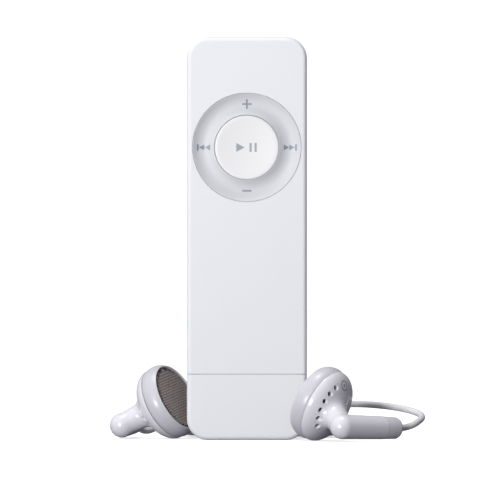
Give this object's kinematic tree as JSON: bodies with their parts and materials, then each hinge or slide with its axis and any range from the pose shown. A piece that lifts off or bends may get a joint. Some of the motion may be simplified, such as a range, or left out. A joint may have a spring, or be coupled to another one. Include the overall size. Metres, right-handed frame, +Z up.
{
  "type": "digital audio player",
  "caption": "Slim upright stick audio player with a round rocking control pad, pull-off plug cap, rear mode switch and a pair of corded earbuds lying at its foot.",
  "frame": {"origin": "centre of the cap's flat end, which stands on the surface", "axes": "+Z up along the player, -Y out of the front with the control pad, +X to the right seen from the front"},
  "size_m": [0.0661, 0.0688, 0.084],
  "materials": {
    "casing_white": "smooth white gloss moulding",
    "pad_grey": "pale grey satin gloss",
    "button_white": "smooth white",
    "collar_white": "satin white",
    "bud_white": "white gloss with a cool lilac shade",
    "bumper_white": "satin soft white",
    "grille_mesh": "fine brown-grey woven mesh",
    "cord_white": "satin white jacket",
    "steel": "bright steel",
    "gold": "gold plate",
    "board": "green solder mask",
    "chip": "black moulding",
    "battery": "silver pouch foil",
    "frame": "grey moulding",
    "lead": "red insulation",
    "lens": "clear pale green",
    "film": "amber film"
  },
  "bodies": {
    "player": {"front_shell": "casing_white", "rear_shell": "casing_white", "usb_collar": "collar_white", "usb_plug_shell": "steel", "usb_tongue": "chip", "usb_contact_1": "gold", "usb_contact_2": "gold", "usb_contact_3": "gold", "usb_contact_4": "gold", "keypad_board": "board", "dome_switch_centre": "steel", "dome_switch_up": "steel", "dome_switch_down": "steel", "dome_switch_left": "steel", "dome_switch_right": "steel", "main_board": "board", "flash_chip": "chip", "audio_chip": "chip", "battery_cell": "battery", "battery_lead": "lead", "inner_frame": "frame", "jack_housing": "chip", "jack_bezel": "steel", "jack_spring": "steel", "mode_switch_can": "steel", "battery_tact": "steel", "battery_led": "lens"},
    "cap": {"usb_cap": "casing_white", "usb_cap_insert": "collar_white"},
    "rocker": {"rocker_plate": "steel"},
    "ring": {"control_ring": "pad_grey"},
    "centre_button": {"centre_button": "button_white"},
    "mode_knob": {"mode_knob": "casing_white"},
    "battery_button": {"battery_button": "casing_white"},
    "earphones": {"right_bud_back": "bud_white", "right_bud_bumper": "bumper_white", "right_bud_grille": "grille_mesh", "right_bud_driver": "steel", "right_bud_diaphragm": "film", "right_stem_collar": "bumper_white", "left_bud_back": "bud_white", "left_bud_bumper": "bumper_white", "left_bud_grille": "grille_mesh", "left_bud_driver": "steel", "left_bud_diaphragm": "film", "left_stem_collar": "bumper_white", "right_branch_cord": "cord_white", "left_branch_cord": "cord_white", "right_pair_run": "cord_white", "left_pair_run": "cord_white", "main_cord_start": "cord_white", "main_cord_end": "cord_white", "cord_coil": "cord_white", "cord_splitter": "bumper_white", "cord_tie": "bumper_white", "plug_body": "bud_white", "plug_relief": "bumper_white", "plug_pin": "gold"},
    "slider": {"cord_slider": "bumper_white"}
  },
  "joints": [
    {"name": "cap_pull", "type": "slide", "parent": "player", "child": "cap", "axis": [0, 0, -1], "range_m": [0, 0.016]},
    {"name": "ring_rock_vertical", "type": "hinge", "parent": "player", "child": "rocker", "pos_m": [0, -0.002, 0.061], "axis": [1, 0, 0], "range_deg": [-1, 1], "stiffness_Nm_per_rad": 1},
    {"name": "ring_rock_sideways", "type": "hinge", "parent": "rocker", "child": "ring", "pos_m": [0, -0.002, 0.061], "axis": [0, 0, 1], "range_deg": [-1, 1], "stiffness_Nm_per_rad": 1},
    {"name": "centre_press", "type": "slide", "parent": "player", "child": "centre_button", "axis": [0, 1, 0], "range_m": [0, 0.00025], "stiffness_N_per_m": 2000},
    {"name": "mode_slide", "type": "slide", "parent": "player", "child": "mode_knob", "axis": [0, 0, 1], "range_m": [0, 0.006]},
    {"name": "battery_press", "type": "slide", "parent": "player", "child": "battery_button", "axis": [0, -1, 0], "range_m": [0, 0.0003], "stiffness_N_per_m": 2000},
    {"name": "earphones_lift", "type": "slide", "parent": "player", "child": "earphones", "axis": [0, 0, 1], "range_m": [0, 0.1]},
    {"name": "slider_travel", "type": "slide", "parent": "earphones", "child": "slider", "axis": [1, 0, 0], "range_m": [0, 0.006]}
  ]
}
